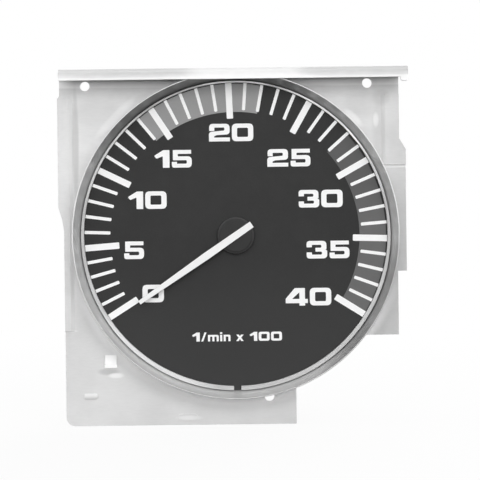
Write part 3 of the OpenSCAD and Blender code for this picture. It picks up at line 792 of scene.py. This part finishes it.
# One finish for each material slot of the record.
FINISHES: dict[str, Finish] = {
    "plate_steel": PlateFinish(
        grey(0.78), grey(0.6), 0.5, metallic=0.1, specular=0.35, patch_scale=55.0, patch_share=0.7,
        grain=Grain.DRAWN, grain_stretch=4.0, grain_scale=1800.0, grain_share=0.12, dust=0.12, specks=0.3,
        dust_colour=grey(0.75), grime=0.0, wear=0.5, wear_colour=grey(0.5), sides=(
            # Painted shade towards the lower right and painted light along the bottom.
            Side(0.36, 0.45, (1.0, 0.0, -0.4), 0.015, 0.06),
            Side(1.0, 0.2, (0.0, 0.0, -1.0), 0.035, 0.055))),
    # Painted shade inside the top of the rim, in a streak low on its right, and over the highlight on the
    # lower half of its lip.
    "pot_steel": Finish(
        grey(0.86), grey(0.7), 0.42, metallic=0.25, patch_scale=50.0, patch_share=0.45, grain=Grain.TURNED,
        # The pale worn edges are wear and, on the lip, a painted highlight.
        grain_scale=2600.0, dust=0.08, grime=0.0, wear=0.25, wear_colour=grey(0.9), sides=(
            Side(0.28, 1.0, (-0.22, 0.0, 0.975), 0.028, 0.049, 0.0),
            Side(0.28, 0.75, (0.866, 0.0, -0.5), 0.0445, 0.0515),
            Side(0.6, 0.9, (0.0, 0.0, -1.0), -0.005, 0.03, 1.0, 0.0, 0.3, 0.7))),
    "dial_charcoal": Finish(
        grey(0.027), grey(0.021), 0.6, specular=0.22, patch_scale=40.0, grain_scale=5200.0, grain_share=0.3,
        grain_depth=0.000006, dust=0.025, specks=0.05, dust_colour=grey(0.35), grime=0.0,
        # Painted light: lighter towards the bottom.
        sides=(Side(0.036, 0.9, (0.0, 0.0, -1.0), 0.0, 0.036),)),
    "print_white": Finish(
        grey(1.0), grey(0.94), 0.55, specular=0.3, patch_scale=300.0, patch_share=0.3, grain_scale=6000.0,
        grain_share=0.12, dust=0.02, specks=0.05, grime=0.0),
    "print_light_grey": LIGHT_PRINT,
    "print_dark_grey": replace(
        LIGHT_PRINT, colour=grey(0.152), shade=grey(0.128),
        # Painted shade: darker towards the top.
        sides=(Side(0.104, 0.9, (0.0, 0.0, 1.0), 0.002, 0.018),)),
    # Painted shade at the top and a painted highlight at its very middle, then clockwise painted highlight,
    # shade, highlight and shade.
    "ring_bright": Finish(
        grey(0.46), grey(0.38), 0.4, metallic=0.5, patch_scale=120.0, patch_share=0.4, grain=Grain.TURNED,
        grain_scale=4000.0, dust=0.03, specks=0.1, grime=0.0, sides=(
            Side(0.15, 0.6, (-0.17, 0.0, 0.985), 0.0425, 0.047),
            Side(0.9, 1.0, (0.0, 0.0, 1.0), 0.049, 0.0505),
            Side(0.9, 0.35, (0.64, 0.0, 0.77), 0.0485, 0.05),
            Side(0.15, 0.3, (1.0, 0.0, 0.0), 0.0475, 0.05),
            Side(0.9, 0.35, (-0.574, 0.0, -0.819), 0.044, 0.0495),
            Side(0.15, 0.25, (-1.0, 0.0, 0.0), 0.047, 0.0495))),
    "pointer_white": TopFaceFinish(
        grey(0.93), grey(0.88), 0.45, specular=0.35, patch_scale=200.0, patch_share=0.3, grain_scale=5000.0,
        grain_share=0.1, dust=0.03, specks=0.05, grime=0.0),
    "hub_black": TopFaceFinish(
        grey(0.021), grey(0.029), 0.55, specular=0.22, patch_scale=200.0, grain=Grain.TURNED,
        grain_scale=3500.0, grain_share=0.3, dust=0.02, specks=0.1, dust_colour=grey(0.3), grime=0.0,
        # Painted light: the rounded edge is given a lighter grey than the face, lifting its shade.
        edge_colour=grey(0.085), edge_way=-0.6, front_way=-0.98),
    "spindle_steel": Finish(
        grey(0.6), grey(0.45), 0.22, metallic=1.0, grain=Grain.TURNED),
    "magnet_grey": Finish(
        (0.16, 0.16, 0.17), (0.1, 0.1, 0.11), 0.6, metallic=0.5, grain_scale=3500.0, grain_share=0.5,
        grain_depth=0.00001, wear=0.5, wear_colour=grey(0.35)),
    "brass": Finish(
        (0.72, 0.53, 0.24), (0.5, 0.34, 0.14), 0.32, metallic=1.0, patch_scale=220.0, grain=Grain.TURNED,
        wear=0.4, wear_colour=(0.9, 0.75, 0.45)),
    "former_black": Finish(
        grey(0.035), grey(0.05), 0.5, grain_scale=2600.0, grain_share=0.4, grain_depth=0.000008, wear=0.3,
        wear_colour=grey(0.15)),
    "winding_copper": WireFinish(
        (0.72, 0.33, 0.14), (0.3, 0.1, 0.04), 0.3, metallic=0.9, coat=0.4, patch_scale=150.0,
        patch_share=0.3),
    "shield_grey": Finish(
        (0.5, 0.52, 0.55), (0.36, 0.37, 0.4), 0.4, metallic=1.0, grain=Grain.TURNED, patch_scale=90.0),
    "board_green": BoardFinish(
        (0.045, 0.2, 0.07), (0.03, 0.15, 0.05), 0.35, patch_scale=120.0, coat=0.2),
    "chip_black": Finish(
        grey(0.022), grey(0.035), 0.55, grain_scale=4200.0, grain_share=0.5, grain_depth=0.000006),
    "capacitor_blue": Finish(
        (0.03, 0.09, 0.26), (0.02, 0.06, 0.2), 0.3, coat=0.3, patch_scale=180.0, wear=0.3,
        wear_colour=(0.4, 0.45, 0.55)),
    "resistor_tan": Finish(
        (0.6, 0.42, 0.22), (0.5, 0.33, 0.16), 0.4, coat=0.3, patch_scale=400.0),
    "trimmer_blue": Finish(
        (0.03, 0.1, 0.5), (0.02, 0.07, 0.4), 0.3, patch_scale=220.0, wear=0.4, wear_colour=(0.3, 0.4, 0.7)),
    "screw_zinc": Finish(
        (0.7, 0.7, 0.68), (0.5, 0.5, 0.47), 0.35, metallic=1.0, patch_scale=260.0, grain_scale=3500.0,
        wear=0.5, wear_colour=grey(0.9), grime=0.5, soil_and_shade_reach=0.001),
    "block_black": Finish(
        grey(0.028), grey(0.042), 0.48, patch_scale=120.0, grain_scale=2800.0, grain_share=0.4,
        grain_depth=0.000008, dust=0.06, wear=0.3, wear_colour=grey(0.16)),
    "tab_brass": Finish(
        (0.78, 0.62, 0.32), (0.58, 0.43, 0.2), 0.34, metallic=1.0, patch_scale=260.0, grain=Grain.DRAWN,
        grain_stretch=4.0, grime=0.4, soil_and_shade_reach=0.001, wear=0.4, wear_colour=(0.92, 0.82, 0.6)),
}


@dataclass(frozen=True)
class Rounded:
    """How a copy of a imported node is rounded: how far each edge is cut back, and into how many faces."""

    node: str
    name: str
    slot: str
    width: float
    segments: int = 2


class Workshop:
    """Makes pieces out of finished meshes, puts them on their bodies and gives them their finishes."""

    MERGE_GAP = 0.000002
    FLAT_ANGLE = math.radians(0.4)
    FLAT_WEIGHT = 80
    EDGE_ANGLE = math.radians(25)

    def __init__(self) -> None:
        """Builds the shared groups and starts with no materials."""
        self.effects = Effects()
        self.made: dict[str, bpy.types.Material] = {}

    def coat(self, piece: bpy.types.Object, slot: str) -> None:
        """Gives a piece its material, which is made when it is first needed.

        Args:
            piece: The object.
            slot: The record's material slot.
        """
        if slot not in self.made:
            self.made[slot] = FINISHES[slot].material(slot, self.effects)
        if not piece.material_slots:
            piece.data.materials.append(None)
        for place in piece.material_slots:
            place.material = self.made[slot]

    def piece(self, name: str, bm: bmesh.types.BMesh, slot: str, body: str = CASE,
              replaces: str | None = None) -> bpy.types.Object:
        """Makes an object of a mesh that is in the model's frame.

        Args:
            name: The piece's name.
            bm: The finished mesh, which is freed.
            slot: The record's material slot.
            body: The body that it moves with.
            replaces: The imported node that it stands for, if any.

        Returns:
            The new object.
        """
        mesh = bpy.data.meshes.new(name)
        bm.to_mesh(mesh)
        bm.free()
        mesh.shade_smooth()
        made = placed(name, mesh)
        self.coat(made, slot)
        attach(made, body)
        if replaces:
            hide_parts(replaces)
        log.info("%s: %d faces, on %s, finish %s", name, len(mesh.polygons), body, slot)
        return made

    def merged(self, node: str) -> bmesh.types.BMesh:
        """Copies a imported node's mesh, joins its loose triangles and makes its flat faces whole.

        Args:
            node: The node's name.

        Returns:
            The mesh, in the model's frame.
        """
        bm = bmesh.new()
        bm.from_mesh(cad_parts[node].data)
        bmesh.ops.remove_doubles(bm, verts=bm.verts, dist=self.MERGE_GAP)
        bmesh.ops.dissolve_limit(bm, angle_limit=self.FLAT_ANGLE, use_dissolve_boundaries=False,
                                 verts=bm.verts, edges=bm.edges, delimit=set())
        bmesh.ops.recalc_face_normals(bm, faces=bm.faces)
        return bm

    def rounded_copy(self, copy: Rounded, body: str) -> None:
        """Makes a copy with the edges rounded by a Bevel modifier and the flat faces kept flat in the light.

        Args:
            copy: What is copied and how it is rounded.
            body: The body that the copy moves with.
        """
        made = self.piece(copy.name, self.merged(copy.node), copy.slot, body, copy.node)
        rounding = made.modifiers.new("rounded edges", "BEVEL")
        rounding.width = copy.width
        rounding.segments = copy.segments
        rounding.limit_method = "ANGLE"
        rounding.angle_limit = self.EDGE_ANGLE
        flat = made.modifiers.new("flat faces", "WEIGHTED_NORMAL")
        flat.mode = "FACE_AREA"
        flat.weight = self.FLAT_WEIGHT


@dataclass
class SubAssembly:
    """Pieces that belong together, on one body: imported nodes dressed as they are, and rounded copies."""

    body: str = CASE
    dressed: tuple[Row, ...] = ()
    copies: tuple[Rounded, ...] = ()

    def build(self, shop: Workshop) -> None:
        """Dresses the nodes and makes the copies.

        Args:
            shop: What makes and dresses the pieces.
        """
        for slot, *nodes in self.dressed:
            for node in nodes:
                shop.coat(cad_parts[node], slot)
                log.info("%s: packed node, finish %s", node, slot)
        for copy in self.copies:
            shop.rounded_copy(copy, self.body)


@dataclass
class Housing(SubAssembly):
    """The carrier plate, the pot and the ring that holds the dial."""

    dressed: tuple[Row, ...] = (("pot_steel", "instrument_pot"),)
    copies: tuple[Rounded, ...] = (
        Rounded("carrier_plate", "pressed_plate", "plate_steel", 0.00014),
        Rounded("retaining_ring", "split_ring", "ring_bright", 0.00006, 4),
    )


@dataclass(frozen=True)
class Glyph:
    """A character's outline: its width and its loops of corners, each with the radius that rounds it.

    A numeral is a hundred units high.
    """

    HIGH: ClassVar[float] = 100.0

    width: float
    loops: tuple[tuple[Corner, ...], ...]

    @staticmethod
    def box(left: float, right: float, low: float, high: float, radius: float) -> tuple[Corner, ...]:
        """Gives a rectangle with rounded corners as a loop."""
        return ((left, low, radius), (left, high, radius), (right, high, radius), (right, low, radius))


GLYPHS: dict[str, Glyph] = {
    "0": Glyph(122, (Glyph.box(0, 122, 0, 100, 26), Glyph.box(30, 92, 24, 76, 8))),
    "1": Glyph(
        88, (((50, 0, 3), (50, 66, 4), (14, 52, 7), (0, 68, 7), (52, 100, 12), (88, 100, 4), (88, 0, 3)),)),
    "2": Glyph(
        119, (((2, 60, 3), (2, 100, 24), (118, 100, 24), (118, 40, 20), (45, 36, 6), (30, 30, 4),
        (30, 22, 2), (119, 22, 2), (119, 0, 2), (0, 0, 2), (0, 54, 18), (88, 62, 6), (88, 79, 6),
        (31, 79, 3), (31, 60, 2)),)),
    "3": Glyph(
        117, (((0, 64, 3), (0, 100, 24), (113, 100, 24), (113, 53, 8), (106, 50, 2), (117, 46, 8),
        (117, 0, 24), (0, 0, 24), (0, 35, 3), (30, 35, 2), (30, 22, 3), (87, 22, 8), (87, 39, 8),
        (50, 39, 3), (50, 61, 3), (84, 61, 8), (84, 78, 8), (30, 78, 3), (30, 64, 2)),)),
    "4": Glyph(
        126, (((0, 14, 3), (0, 40, 6), (52, 100, 4), (110, 100, 4), (110, 38, 2), (126, 38, 2), (126, 14, 2),
        (110, 14, 2), (110, 0, 2), (78, 0, 2), (78, 14, 2)), ((36, 38, 2), (78, 38, 2), (78, 76, 2)))),
    "5": Glyph(
        115, (((8, 100, 3), (112, 100, 3), (112, 78, 2), (36, 78, 3), (36, 64, 2), (115, 64, 24),
        (115, 0, 24), (2, 0, 14), (2, 33, 3), (31, 33, 2), (31, 22, 3), (87, 22, 8), (87, 42, 8),
        (8, 42, 3)),)),
    "/": Glyph(60, (((0, 0, 2), (22, 0, 2), (60, 100, 2), (38, 100, 2)),)),
    "m": Glyph(
        120, (((0, 0, 2), (0, 72, 2), (120, 72, 20), (120, 0, 2), (96, 0, 2), (96, 52, 6), (72, 52, 3),
        (72, 0, 2), (48, 0, 2), (48, 52, 3), (24, 52, 3), (24, 0, 2)),)),
    "i": Glyph(24, (Glyph.box(0, 24, 0, 72, 2), Glyph.box(0, 24, 82, 100, 2))),
    "n": Glyph(
        76, (((0, 0, 2), (0, 72, 2), (76, 72, 20), (76, 0, 2), (52, 0, 2), (52, 52, 6), (24, 52, 3),
        (24, 0, 2)),)),
    "x": Glyph(
        84, (((0, 0, 2), (28, 0, 2), (42, 22, 2), (56, 0, 2), (84, 0, 2), (57, 37, 2), (82, 72, 2),
        (55, 72, 2), (42, 53, 2), (29, 72, 2), (2, 72, 2), (27, 37, 2)),)),
}


@dataclass(frozen=True)
class PrintedWord:
    """A word printed on the dial, all in millimetres, with its middle given from the pointer axis."""

    name: str
    words: str
    x: float
    z: float
    height: float = 5.8
    letter_gap: float = 0.66
    word_gap: float = 1.9
    ink: float = 0.08
    merge_gap: float = 0.001
    corner_steps: int = 5

    @property
    def scale(self) -> float:
        """Gives the length of a glyph's unit."""
        return self.height / Glyph.HIGH

    def rounded(self, loop: tuple[Corner, ...]) -> list[tuple[float, float]]:
        """Rounds the corners of a loop.

        Args:
            loop: The corners with their radii.

        Returns:
            The loop's points from the character's lower left corner.
        """
        points = []
        for place, (x, y, radius) in enumerate(loop):
            corner = Vector((x, y))
            before = Vector(loop[place - 1][:2]) - corner
            after = Vector(loop[(place + 1) % len(loop)][:2]) - corner
            half = before.angle(after) / 2
            room = min(before.length, after.length) / 2
            cut = min(radius / math.tan(half), room)
            start = corner + before.normalized() * cut
            end = corner + after.normalized() * cut
            for step in range(self.corner_steps + 1):
                share = step / self.corner_steps
                near = start.lerp(corner, share)
                far = corner.lerp(end, share)
                point = near.lerp(far, share)
                points.append((point.x * self.scale, point.y * self.scale))
        return points

    def laid_out(self) -> tuple[list[tuple[Glyph, float]], float]:
        """Sets the characters side by side.

        Returns:
            Each character with its left edge from the word's start, and the word's width.
        """
        signs = []
        left = 0.0
        for sign, following in zip(self.words, self.words[1:] + " "):
            if sign == " ":
                left += self.word_gap
                continue
            signs.append((GLYPHS[sign], left))
            left += GLYPHS[sign].width * self.scale + (self.letter_gap if following != " " else 0.0)
        return signs, left

    def build(self, shop: Workshop, face: float) -> None:
        """Prints the word.

        Args:
            shop: What makes the piece.
            face: The height of the dial's face in millimetres.
        """
        curve = bpy.data.curves.new(self.name, "CURVE")
        curve.dimensions = "2D"
        curve.fill_mode = "BOTH"
        curve.extrude = self.ink / 2
        signs, width = self.laid_out()
        left = self.x - width / 2
        low = self.z - self.height / 2
        for glyph, along in signs:
            for loop in glyph.loops:
                points = self.rounded(loop)
                spline = curve.splines.new("POLY")
                spline.points.add(len(points) - 1)
                for point, (x, y) in zip(spline.points, points):
                    point.co = (left + along + x, low + y, 0.0, 1.0)
                spline.use_cyclic_u = True
        drawn = bpy.data.objects.new(self.name, curve)
        flat = bpy.data.meshes.new_from_object(drawn)
        bm = bmesh.new()
        bm.from_mesh(flat)
        bpy.data.objects.remove(drawn)
        bpy.data.curves.remove(curve)
        bpy.data.meshes.remove(flat)
        bmesh.ops.remove_doubles(bm, verts=bm.verts, dist=self.merge_gap)
        bmesh.ops.recalc_face_normals(bm, faces=bm.faces)
        lift = Matrix.Translation((0, 0, face + self.ink / 2))
        bmesh.ops.transform(bm, matrix=TO_FACE @ lift, verts=bm.verts)
        made = shop.piece(self.name, bm, "print_white")
        made.data.set_sharp_from_angle(angle=SHARP)


@dataclass
class Dial(SubAssembly):
    """The dial plate with everything that is printed on it."""

    dressed: tuple[Row, ...] = (
        ("dial_charcoal", "dial_plate"),
        ("print_light_grey", "economy_band"),
        ("print_dark_grey", "overspeed_band"),
    )
    mark_corner: float = 0.00028
    inner_end_r: float = 0.0435
    upright_within: float = 0.00001
    numerals: tuple[PrintedWord, ...] = (
        PrintedWord("numeral_0", "0", -27.52, -18.82),
        PrintedWord("numeral_5", "5", -33.7, -4.46),
        PrintedWord("numeral_10", "10", -29.13, 12.01),
        PrintedWord("numeral_15", "15", -20.49, 25.53),
        PrintedWord("numeral_20", "20", -1.17, 34.01),
        PrintedWord("numeral_25", "25", 17.79, 25.44),
        PrintedWord("numeral_30", "30", 28.12, 11.85),
        PrintedWord("numeral_35", "35", 30.34, -5.01),
        PrintedWord("numeral_40", "40", 23.7, -20.49),
        PrintedWord("unit_legend", "1/min x 100", -0.06, -33.35, 2.97, 0.45, 1.87),
    )

    def marks(self, shop: Workshop) -> None:
        """Prints the marks, with the corners of their inner ends rounded.

        Args:
            shop: What makes and dresses the pieces.
        """
        bm = shop.merged("scale_marks")
        ends = []
        for edge in bm.edges:
            first, second = (vert.co for vert in edge.verts)
            upright = abs(first.x - second.x) + abs(first.z - second.z) < self.upright_within
            if upright and math.hypot(first.x, first.z) < self.inner_end_r:
                ends.append(edge)
        bmesh.ops.bevel(bm, geom=ends, offset=self.mark_corner, offset_type="OFFSET", segments=4,
                        profile=0.5, affect="EDGES", material=-1)
        made = shop.piece("printed_marks", bm, "print_white", CASE, "scale_marks")
        made.data.set_sharp_from_angle(angle=SHARP)

    def build(self, shop: Workshop) -> None:
        """Finishes the dial and its bands, and prints the marks and the numerals.

        Args:
            shop: What makes and dresses the pieces.
        """
        super().build(shop)
        self.marks(shop)
        face = -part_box("dial_plate")[0].y / MM
        for word in self.numerals:
            word.build(shop, face)


@dataclass
class PointerShaft(SubAssembly):
    """Everything that turns: pointer, hub, spindle, magnet and stop arm."""

    body: str = POINTER_SHAFT
    dressed: tuple[Row, ...] = (
        ("hub_black", "pointer_hub"),
        ("spindle_steel", "spindle"),
        ("magnet_grey", "rotor_magnet"),
        ("brass", "stop_arm"),
    )
    copies: tuple[Rounded, ...] = (Rounded("pointer", "pointer_bar", "pointer_white", 0.00008),)


@dataclass
class Movement(SubAssembly):
    """The fixed part of the cross-coil movement behind the dial."""

    dressed: tuple[Row, ...] = (
        ("brass", "stop_pins", "front_bearing", "bearing_bridge", "rear_bearing"),
        ("former_black", "coil_former_front", "coil_former_rear"),
        ("winding_copper", "inner_coil", "outer_coil"),
        ("shield_grey", "shield_can"),
    )


@dataclass
class BoardAndTerminals(SubAssembly):
    """The circuit board with its parts, and the terminals and screws behind the pot."""

    dressed: tuple[Row, ...] = (
        ("board_green", "circuit_board"),
        ("chip_black", "driver_chip", "diode"),
        ("capacitor_blue", "capacitors"),
        ("resistor_tan", "resistors"),
        ("trimmer_blue", "calibration_trimmer"),
        ("brass", "board_standoffs"),
        ("screw_zinc", "board_screws"),
    )
    copies: tuple[Rounded, ...] = (
        Rounded("rear_screws", "can_screws", "screw_zinc", 0.00015),
        Rounded("terminal_block", "terminal_base", "block_black", 0.00035, 3),
        Rounded("terminal_tabs", "push_tabs", "tab_brass", 0.00012),
    )


@dataclass(frozen=True)
class Lamp:
    """A soft square lamp that looks at the object: its place, its side, and its power in watts."""

    name: str
    place: Way
    size: float
    power: float

    def hang(self) -> None:
        """Makes the lamp."""
        light = bpy.data.lights.new(self.name, "AREA")
        light.size = self.size
        light.energy = self.power
        made = placed(self.name, light)
        made.location = self.place
        made.rotation_euler = Vector(self.place).to_track_quat("Z", "Y").to_euler()


@dataclass
class Studio:
    """The floor, the world, the lamps and the camera.

    The camera sees a floor that is paler than the one that lights the object, and that glows more the
    further it is from the object. The camera's roll is in degrees and its lens in millimetres.
    """

    floor_size: float = 6.0
    floor_drop: float = 0.0002
    floor_rough: float = 0.9
    floor_lit: Colour = (0.2, 0.2, 0.2)
    floor_seen: Colour = (0.95, 0.95, 0.95)
    floor_reach: float = 0.5
    floor_glow: float = 0.92
    camera_back: float = 0.4526
    camera_x: float = 0.00134
    camera_z: float = -0.0015
    camera_roll: float = -0.7
    camera_near: float = 0.01
    lens: float = 102.27
    room_light: float = 0.55
    room_height: Span = (-0.9, 0.1)
    low_share: float = 0.12
    lamps: tuple[Lamp, ...] = (
        Lamp("key", (0.12, -0.97, 0.1), 1.0, 9.2),
        Lamp("fill", (-0.55, -0.75, -0.15), 0.7, 2.0),
        Lamp("rear", (0.4, 0.8, 0.5), 0.7, 4.0),
    )

    def world(self) -> None:
        """Sets white behind the object and a soft room round it, dim in its lower half for the metal."""
        world = bpy.data.worlds.new("studio")
        bpy.context.scene.world = world
        world.use_nodes = True
        graph = Graph(world.node_tree)
        back = world.node_tree.nodes["Background"]
        seen = graph.add("ShaderNodeLightPath").outputs
        way = graph.parts(graph.add("ShaderNodeTexCoord").outputs["Generated"])
        room = graph.ramp(way["Z"], *self.room_height, self.low_share, 1.0)
        soft = graph.maths("MULTIPLY", room, self.room_light)
        level = graph.maths("MAXIMUM", graph.maths("MULTIPLY", seen["Is Glossy Ray"], room), soft)
        clear = graph.maths("MAXIMUM", seen["Is Camera Ray"], seen["Is Transmission Ray"])
        graph.feed(back.inputs["Color"], grey(1.0))
        graph.feed(back.inputs["Strength"], graph.maths("MAXIMUM", clear, level))

    def floor(self) -> None:
        """Lays the pale floor under the object's lowest edge."""
        bm = bmesh.new()
        bmesh.ops.create_grid(bm, x_segments=1, y_segments=1, size=self.floor_size / 2)
        low = cad_box[0][2] - self.floor_drop
        bmesh.ops.translate(bm, vec=(0, self.floor_size / 4, low), verts=bm.verts)
        mesh = bpy.data.meshes.new("floor")
        bm.to_mesh(mesh)
        bm.free()
        made = placed("floor", mesh)
        paper = bpy.data.materials.new("pale_floor")
        paper.use_nodes = True
        graph = Graph(paper.node_tree)
        shader = paper.node_tree.nodes["Principled BSDF"]
        shader.inputs["Roughness"].default_value = self.floor_rough
        glow = graph.add("ShaderNodeEmission")
        graph.feed(glow.inputs["Strength"], 1.0)
        pick = graph.add("ShaderNodeMixShader")
        seen = graph.add("ShaderNodeLightPath").outputs
        pale = graph.blend(seen["Is Camera Ray"], self.floor_lit, self.floor_seen)
        graph.feed(shader.inputs["Base Color"], pale)
        away = graph.vector("LENGTH", graph.place(), out=1)
        glowing = graph.ramp(away, cad_box[1][2], self.floor_reach, self.floor_glow, 1.0)
        graph.feed(pick.inputs[0], graph.maths("MULTIPLY", seen["Is Camera Ray"], glowing))
        graph.feed(pick.inputs[1], shader.outputs[0])
        graph.feed(pick.inputs[2], glow.outputs[0])
        graph.feed(paper.node_tree.nodes["Material Output"].inputs[0], pick.outputs[0])
        made.data.materials.append(paper)

    def camera(self) -> None:
        """Sets the camera square to the dial, as the photograph was taken."""
        view = bpy.data.cameras.new("camera")
        view.lens = self.lens
        view.clip_start = self.camera_near
        made = placed("camera", view)
        square = Matrix.Rotation(math.radians(90), 4, "X")
        roll = Matrix.Rotation(math.radians(self.camera_roll), 4, "Z")
        spot = Matrix.Translation((self.camera_x, -self.camera_back, self.camera_z))
        made.matrix_world = spot @ square @ roll
        bpy.context.scene.camera = made

    def build(self) -> None:
        """Sets up the whole studio."""
        self.world()
        self.floor()
        for lamp in self.lamps:
            lamp.hang()
        self.camera()
        bpy.context.scene.view_settings.view_transform = "Standard"
        log.info("studio: floor, %d lamps and camera", len(self.lamps))


def main() -> None:
    """Builds the sub-assemblies in order and sets the studio."""
    logging.basicConfig(level=logging.INFO, format="%(message)s")
    shop = Workshop()
    for part in (Housing(), Dial(), PointerShaft(), Movement(), BoardAndTerminals()):
        part.build(shop)
    Studio().build()


if __name__ == "__main__":
    main()
